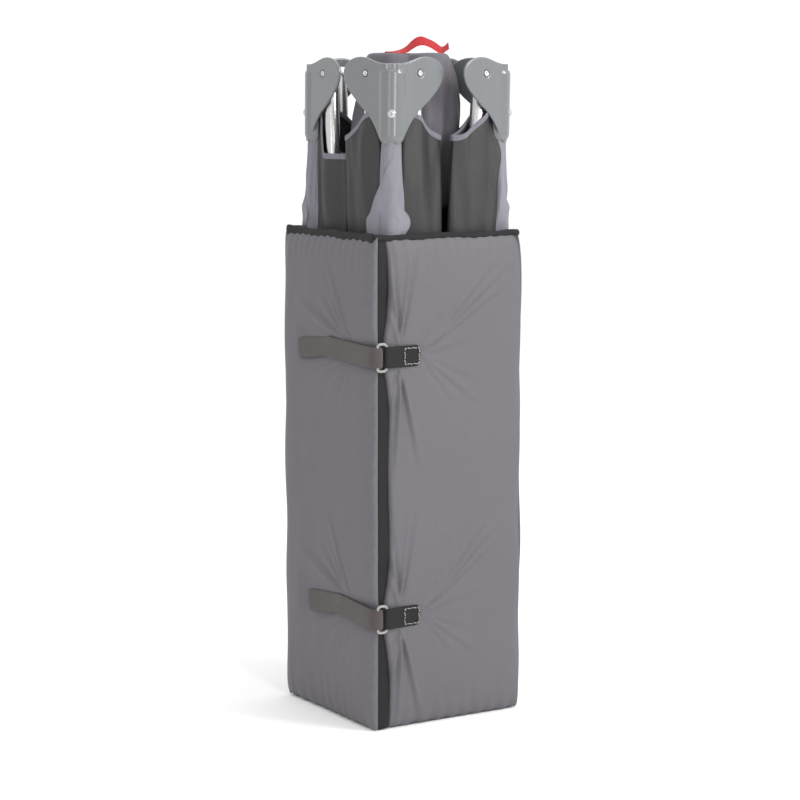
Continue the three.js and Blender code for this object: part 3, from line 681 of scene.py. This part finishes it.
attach(pull, "hub")
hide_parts("pull_strap")

# Mattress panels: a board and thin foam in a coated grey cover. The cover is pulled tight by the
# straps, which draw creases out from where they hold, and it puckers along its sewn edges.
cover_cloth = cloth("cover_cloth", (0.113, 0.108, 0.119), 0.0009, 0.55, 0.05, 0.00008, 0.0013, 0.07)
half, thick, tall = 0.105, 0.010, 0.578
strap_heights = {"upper": 0.440, "lower": 0.133}
turns = {"back": 0, "left": 1, "front": 2, "right": 3}


def on_side(side, s, out, z):
    # s runs along the side as seen from outside, from its left end to its right one
    s, out, z = np.broadcast_arrays(np.asarray(s, float), np.asarray(out, float), np.asarray(z, float))
    x, y = half - s, out
    for _ in range(turns[side]):
        x, y = -y, x
    return np.stack([x, y, z], -1) + middle


def crease(s, z, start, heading, length, width, depth):
    c, d = math.cos(heading), math.sin(heading)
    along = ((s - start[0]) * c + (z - start[1]) * d) / length
    off = (-(s - start[0]) * d + (z - start[1]) * c) / (width * (0.45 + 0.9 * np.clip(along, 0, 1)))
    fade = np.clip(along * 7, 0, 1) * np.clip(1 - along, 0, 1) ** 0.8
    ridge = np.exp(-(((off - 0.42) / 0.6) ** 2)) - 0.8 * np.exp(-(((off + 0.42) / 0.6) ** 2))
    return 1.9 * depth * fade * ridge


def creases(side, s, z):
    rise = np.zeros_like(s)
    fans = []
    if side == "front":
        for level, twist in ((0.440, 0.0), (0.133, 0.35)):
            tip, root = (0.064, level), (0.028, level)
            for heading, length, width, depth in (
                (33, 0.15, 0.0050, 0.0022), (39, 0.16, 0.0045, 0.0024), (45, 0.15, 0.0045, 0.0020),
                (51, 0.10, 0.0045, 0.0015),
                (12, 0.09, 0.006, 0.0008),
                (-22, 0.10, 0.006, 0.0005), (-38, 0.12, 0.006, 0.0008), (-52, 0.09, 0.006, 0.0006),
                (60, 0.09, 0.006, 0.0010),
            ):
                fans.append((tip, math.radians(heading + twist * 8), length, width, depth))
            for heading, length, depth in (
                (80, 0.13, 0.0026), (97, 0.15, 0.0030), (106, 0.11, 0.0016), (-78, 0.13, 0.0026),
                (-94, 0.15, 0.0030), (-104, 0.1, 0.0018),
            ):
                start = (root[0] + 0.008, level + math.copysign(0.012, heading))
                fans.append((start, math.radians(heading + 4 * twist), length, 0.006, depth))
    if side == "left":
        for level, lift in ((0.440, 0.008), (0.133, 0.012)):
            root = (0.21 - 0.045, level + lift)
            for heading, length, width, depth in (
                (157, 0.14, 0.008, 0.0024), (140, 0.10, 0.006, 0.0016), (118, 0.12, 0.005, 0.0018),
                (128, 0.07, 0.005, 0.0016),
                (206, 0.11, 0.008, 0.0014), (226, 0.09, 0.007, 0.0012), (250, 0.08, 0.006, 0.0010),
            ):
                fans.append((root, math.radians(heading), length, width, depth))
    if side in ("back", "right"):
        for level in strap_heights.values():
            for k in range(5):
                start = (0.04 + 0.03 * k, level + 0.02 * math.sin(k * 2.1))
                fans.append((start, math.radians(25 + 31 * k), 0.09, 0.009, 0.0008))
    for start, heading, length, width, depth in fans:
        rise += crease(s, z, start, heading, length, width, depth)
    return rise


def panel_points(side, s, z):
    # how far the cover stands out from the middle of the wrap, at a place on the panel's outside
    seed = turns[side] * 11.3
    spots = list(zip(s.ravel(), z.ravel()))
    broad = np.array([noise.noise((a * 9 + seed, 0.3, b * 7)) for a, b in spots]).reshape(s.shape)
    fine = np.array([noise.noise((a * 34 + seed, 4.1, b * 16)) for a, b in spots]).reshape(s.shape)
    side_edge = np.minimum(s, 2 * half - s)
    top_edge = np.minimum(tall - z, z)
    crown = 0.0030 * (1 - np.exp(-np.clip(side_edge, 0, 1) / 0.012))
    crown *= 1 - np.exp(-np.clip(top_edge, 0, 1) / 0.016)
    crown -= 0.0026 * np.exp(-((side_edge / 0.0085) ** 2)) * (0.8 + 0.5 * np.sin(z * 41 + seed))
    roll = 0.0058 * np.exp(-np.clip(tall - z, 0, 1) / 0.011) + 0.0035 * np.exp(-np.clip(z, 0, 1) / 0.010)
    pucker = 0.0009 * np.sin(s * 430 + 3 * broad) * np.exp(-(tall - z) / 0.016)
    pucker += 0.0009 * np.sin(s * 310 + 5 * broad) * np.exp(-z / 0.02)
    cinch = 0
    if side in ("front", "left"):
        end = s if side == "front" else 2 * half - s
        pucker += 0.0008 * np.sin(z * 330 + 4 * broad) * np.exp(-end / 0.014)
        for level in strap_heights.values():
            cinch = cinch + np.exp(-(((z - level) / 0.03) ** 2) - (end / 0.075) ** 2)
    pressed, quiet = 0, 1
    if side == "left":
        along = np.clip((0.172 - (2 * half - s)) / 0.02, 0, 1)
        for level in strap_heights.values():
            lane = np.exp(-(((z - level - 0.045 * (2 * half - s)) / 0.021) ** 4)) * along
            pressed, quiet = pressed + 0.0030 * lane, quiet - 0.75 * lane
    drawn_in = creases(side, s, z) * quiet
    return half + crown - roll + pucker + 0.0016 * broad + 0.0006 * fine + drawn_in - 0.0036 * cinch - pressed


def free_edge(z):
    # where the front panel's cover meets its binding: the binding is squeezed narrow at the straps
    narrow = sum(np.exp(-(((z - level) / 0.045) ** 2)) for level in strap_heights.values())
    return 0.0235 - 0.0065 * narrow + 0.0012 * np.sin(z * 37) - 0.004 * np.clip((z - 0.5) / 0.078, 0, 1)


for side in turns:
    fine = side in ("front", "left")
    near_end = [0, 0.0015, 0.004, 0.008]
    between = np.linspace(0.013, tall - 0.013, 190 if fine else 90)
    levels = np.concatenate([near_end, between, [tall - step for step in near_end[::-1]]])
    rings = []
    for z in levels:
        start, stop = 0.0, 2 * half
        if side == "front":
            start = float(free_edge(np.array(z)))
        if side == "left":
            stop = 2 * half - 0.0005
        rim = 0.0035
        s = np.linspace(start + rim, stop - rim, 100 if fine else 50)
        inset = max(0, 0.004 - z) * 0.9 + max(0, z - (tall - 0.004)) * 0.9
        out = panel_points(side, s, np.full_like(s, z)) - inset * 0.5
        back = np.full(20, half - thick + 0.0007 + inset)
        s_back = np.linspace(stop - 0.011, start + (0.011 if side != "front" else 0.002), 20)
        if side == "left":
            s_back = np.linspace(stop - 0.0015, start + 0.011, 20)
        ends = []
        for way in (1, 0):
            edge = stop if way else start
            sign = 1 if way else -1
            square = (side == "front" and not way) or (side == "left" and way)
            o = out[-1] if way else out[0]
            inner = half - thick + 0.0007
            t = np.linspace(0, 1, 6)
            if square:
                turned = np.clip(t * 2.2, 0, 1) * math.pi / 2
                arc_s = edge - sign * rim * (1 - np.sin(turned)) - sign * 0.001 * t
                arc_o = o - 0.0016 * (1 - np.cos(turned)) - (o - inner - 0.002) * t**1.2
            else:
                rounding = rim * (1 - np.sin(t * math.pi / 2)) * (t < 0.45)
                arc_s = edge - sign * (rounding + 0.0105 * np.clip((t - 0.3) / 0.7, 0, 1))
                arc_o = o - (o - inner - 0.0008) * t**1.3
            ends.append((arc_s[1:-1], arc_o[1:-1]))
        ring_s = np.concatenate([s, ends[0][0], s_back, ends[1][0][::-1]])
        ring_o = np.concatenate([out, ends[0][1], back, ends[1][1][::-1]])
        rings.append(on_side(side, ring_s, ring_o, z))
    for rise, closer in ((0.0003, 0.6), (0.0002, 0.15)):
        centre = on_side(side, half, half - thick * 0.5, tall)
        outward = on_side(side, 0, 1, 0) - on_side(side, 0, 0, 0)
        depth = ((rings[-1] - centre) @ outward)[:, None] * outward
        rings.append(rings[-1] - depth * (1 - closer) - (0, 0, rise))
        depth = ((rings[0] - centre) @ outward)[:, None] * outward
        rings.insert(0, rings[0] - depth * (1 - closer) + (0, 0, rise))
    pad = skin(f"mattress_pad_{side}", rings, cover_cloth)
    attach(pad, f"mattress_{side}")
    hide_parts(f"mattress_{side}")

# Mattress folds: at three corners the cover runs on from panel to panel. A strip of it bends round
# each corner.
for left_side, right_side, hinge in (
    ("front", "right", (1, -1)), ("right", "back", (1, 1)), ("back", "left", (-1, 1))
):
    rings = []
    for z in np.concatenate([[0.003], np.linspace(0.006, tall - 0.006, 70), [tall - 0.003]]):
        roll = 0.0058 * math.exp(-(tall - z) / 0.011) + 0.0035 * math.exp(-z / 0.010)
        wobble = 0.0005 * math.sin(z * 60) + 0.0004 * math.sin(z * 151)
        t = np.linspace(0, math.pi / 2, 14)
        radius = 0.0105
        run = np.linspace(0.014, radius, 4)[:-1]
        level = half - 0.0012 - roll + wobble
        flat_a = np.stack([half - 0.0012 - run, np.full(3, level)], -1)
        arc = np.stack([level - radius + radius * np.sin(t), level - radius + radius * np.cos(t)], -1)
        flat_b = np.stack([np.full(3, level), half - 0.0012 - run[::-1]], -1)
        outer = np.vstack([flat_a, arc, flat_b])
        inner = outer[::-1] - 0.0014
        ring = [(hinge[0] * x, hinge[1] * y, z) for x, y in np.vstack([outer, inner])]
        rings.append(np.array(ring) + middle)
    fold = skin(f"mattress_fold_{left_side}_{right_side}", rings, cover_cloth)
    corner_spot = np.array([hinge[0] * half, hinge[1] * half, 0.289]) + middle
    inward = on_side(left_side, half, half, 0.289) - corner_spot
    onward = on_side(right_side, half, half, 0.289) - corner_spot
    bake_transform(fold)

# Binding: black woven tape folded over the top edge of every panel and down the free edge of the
# front one, stitched through all the layers.
black_tape = cloth("black_tape", (0.014, 0.014, 0.015), 0.0011, 0.7, 0.03, 0.0003, 0.0006, 0.2)
for side in turns:
    rings = []
    for s in np.linspace(0.004, 2 * half - 0.004, 90):
        z = tall + 0.0008 * math.sin(s * 60 + turns[side]) + 0.0004 * math.sin(s * 171)
        out = half - 0.0052 + 0.0004 * math.sin(s * 95 + 1)
        tall_tape = 1.35 if side in ("left", "back") else 0.85
        shape = [
            (0.0008, -0.0056), (0.0024, -0.0048), (0.0027, -0.001), (0.0020, 0.0022), (0, 0.0032),
            (-0.0020, 0.0022), (-0.0027, -0.001), (-0.0024, -0.0048), (-0.0008, -0.0056)]
        shape = [(o, h * tall_tape) for o, h in shape]
        rings.append(np.array([on_side(side, s, out + o, z + h) for o, h in shape]))
    bound = skin(f"top_binding_{side}", rings, black_tape)
    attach(bound, f"mattress_{side}")
rings = []
for z in np.linspace(-0.0006, tall + 0.002, 120):
    stop = float(free_edge(np.array(z))) + 0.0015
    start = 0.0075
    centre, reach_out = (start + stop) / 2, (stop - start) / 2
    squeeze = sum(math.exp(-(((z - level) / 0.03) ** 2)) for level in strap_heights.values())
    angle = np.arange(20) * 2 * math.pi / 20
    level = half - 0.0052 - 0.0022 * squeeze - 0.0038 * math.exp(-max(0, tall - z) / 0.012)
    ring_s = centre + reach_out * np.sign(np.cos(angle)) * np.abs(np.cos(angle)) ** 0.7
    ring_o = level + 0.0036 * np.sin(angle) + 0.0003 * math.sin(z * 160)
    rings.append(on_side("front", ring_s, ring_o, z))
bound = skin("free_edge_binding", rings, black_tape)
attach(bound, "mattress_front")

# Strap webbing: black polypropylene webbing folded round the ring's inner bar and box-stitched to
# the front panel with pale thread.
webbing_width = 0.025
pale_thread = cloth("pale_thread", (0.36, 0.36, 0.34), 0.0006, 0.6, 0.1, 0.0001, 0.0002)
for name, z in strap_heights.items():
    box = np.array(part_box(f"strap_webbing_{name}"))
    left, right = box[0][0], box[1][0]
    face, outside = box[1][1], box[0][1]
    path = [
        (left + 0.006, face - 0.0006), (left + 0.0025, face - 0.001), (left + 0.0004, (face + outside) / 2)
    ]
    path += [
        (left + 0.0022, outside + 0.0009), (left + 0.007, outside + 0.0014),
        (left + 0.014, outside + 0.0024),
    ]
    path += [
        (left + 0.022, outside + 0.0036), (left + 0.032, outside + 0.0042),
        (left + 0.043, outside + 0.0043), (right, outside + 0.0044),
    ]
    webbing = ribbon(
        f"webbing_{name}", [(x, y, z) for x, y in path], (0, 0, 1), webbing_width, 0.0017, black_tape
    )
    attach(webbing, "mattress_front")
    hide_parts(f"strap_webbing_{name}")
    # box stitch: short pale stitches round a rectangle
    box_left, box_right, up = right - 0.0225, right - 0.003, 0.0092
    loop = [
        (box_left, z - up), (box_right, z - up), (box_right, z + up), (box_left, z + up), (box_left, z - up)
    ]
    stitches = []
    for (x0, z0), (x1, z1) in zip(loop[:-1], loop[1:]):
        run = math.hypot(x1 - x0, z1 - z0)
        count = round(run / 0.0029)
        for k in range(count):
            a, b = (k + 0.12) / count, (k + 0.86) / count
            p = np.array([x0 + (x1 - x0) * a, z0 + (z1 - z0) * a])
            q = np.array([x0 + (x1 - x0) * b, z0 + (z1 - z0) * b])
            sway = 0.00035 * math.sin(k * 2.3 + z0 * 900)
            spots = [(p + (q - p) * t, 0.0006 * math.sin(math.pi * t)) for t in (0, 0.2, 0.5, 0.8, 1)]
            line = [(spot[0] + sway, outside + 0.0030 - rise, spot[1] + sway) for spot, rise in spots]
            radii = [0.0002, 0.0005, 0.0006, 0.0005, 0.0002]
            stitches.append(skin("stitch", turned_rings(line, radii, 8), pale_thread, smooth=0))
    bpy.context.view_layer.objects.active = stitches[0]
    for made in bpy.context.selected_objects:
        made.select_set(False)
    for made in stitches:
        made.select_set(True)
    bpy.ops.object.join()
    stitches[0].name = f"box_stitch_{name}"
    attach(stitches[0], "mattress_front")

# Ring: a rectangular loop moulded in milky, slightly see-through plastic. The webbing holds its
# inner bar and the tape pulls on its outer one.
milky = hard("milky_plastic", (0.25, 0.245, 0.235), 0.42, 0, (0.3, 0.3, 0.29), 0.00001)
milky.node_tree.nodes["Principled BSDF"].inputs["Subsurface Weight"].default_value = 0.25
for name, z in strap_heights.items():
    low, high = np.array(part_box(f"strap_ring_{name}"))
    middle_y = (low[1] + high[1]) / 2
    half_wide, half_tall, bend = (high[0] - low[0]) / 2 - 0.0014, (high[2] - low[2]) / 2 - 0.0014, 0.004
    centre_x, centre_z = (low[0] + high[0]) / 2, (low[2] + high[2]) / 2
    line = []
    for k, (qx, qz) in enumerate(((1, 1), (-1, 1), (-1, -1), (1, -1))):
        for t in np.linspace(0, math.pi / 2, 7):
            a = t + k * math.pi / 2
            x = centre_x + qx * (half_wide - bend) + bend * math.cos(a)
            line.append((x, middle_y, centre_z + qz * (half_tall - bend) + bend * math.sin(a)))
    line = np.array(line)
    nearby = np.roll(line, -1, 0) - np.roll(line, 1, 0)
    nearby /= np.linalg.norm(nearby, axis=1)[:, None]
    out_of = np.cross(nearby, (0, 1, 0))
    angle = np.arange(12) * 2 * math.pi / 12
    sideways = np.cos(angle)[None, :, None] * out_of[:, None]
    rings = line[:, None] + 0.0017 * (sideways + np.sin(angle)[None, :, None] * np.array([0, 1, 0]))
    rings = np.concatenate([rings, rings[:1]])
    loop_piece = skin(f"ring_{name}", rings, milky)
    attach(loop_piece, f"ring_{name}")
    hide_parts(f"strap_ring_{name}")

# Hook-and-loop tape: brown-grey pile tape sewn to the left panel. It goes round the corner to the
# ring, doubles back on itself, and its free end kinks away from the panel.
pile = cloth("pile_tape", (0.074, 0.063, 0.062), 0.0012, 0.85, 0.2, 0.0005, 0.0008, 0.2)
for name, z in strap_heights.items():
    low, high = np.array(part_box(f"strap_tape_{name}"))
    outside = low[0]
    slant = 0.045 if name == "upper" else 0.075
    start_y = low[1] + 0.004
    run = [
        (-0.0925, low[1] + 0.0012, 0), (-0.096, low[1] + 0.0002, 0), (-0.0995, low[1] + 0.0004, 0),
        (-0.1025, low[1] + 0.0026, 0),
    ]
    run += [(outside + 0.0010, low[1] + 0.007, 0), (outside + 0.0004, low[1] + 0.014, 0)]
    fold_y = start_y + (0.1 if name == "upper" else 0.078)
    for t in np.linspace(0.2, 1, 9):
        run.append((outside + 0.0004 - 0.0016 * t**4, start_y + (fold_y - start_y) * t, -0.62 * t**3))
    free_length = 0.068
    for t in np.linspace(0.06, 1, 12):
        ease = 1 - math.exp(-t * 9)
        run.append(
            (outside - 0.0012 + 0.0008 * ease - 0.0016 * t**2, fold_y + free_length * t, -0.62 + 1.1 * t)
        )
    points, sides = [], []
    for x, y, shear in run:
        past = max(0, y - fold_y)
        points.append((x, y, z + slant * max(0, min(y, fold_y) - start_y) - 0.11 * past))
        sides.append((0.15 * min(1, past / 0.012), shear, 1))
    lengths = np.linalg.norm(np.array(sides, float), axis=1)[:, None]
    sewn = ribbon(f"tape_{name}", points, sides, webbing_width, 0.0015, pile, stretch=lengths)
    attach(sewn, f"tape_{name}")
    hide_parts(f"strap_tape_{name}")
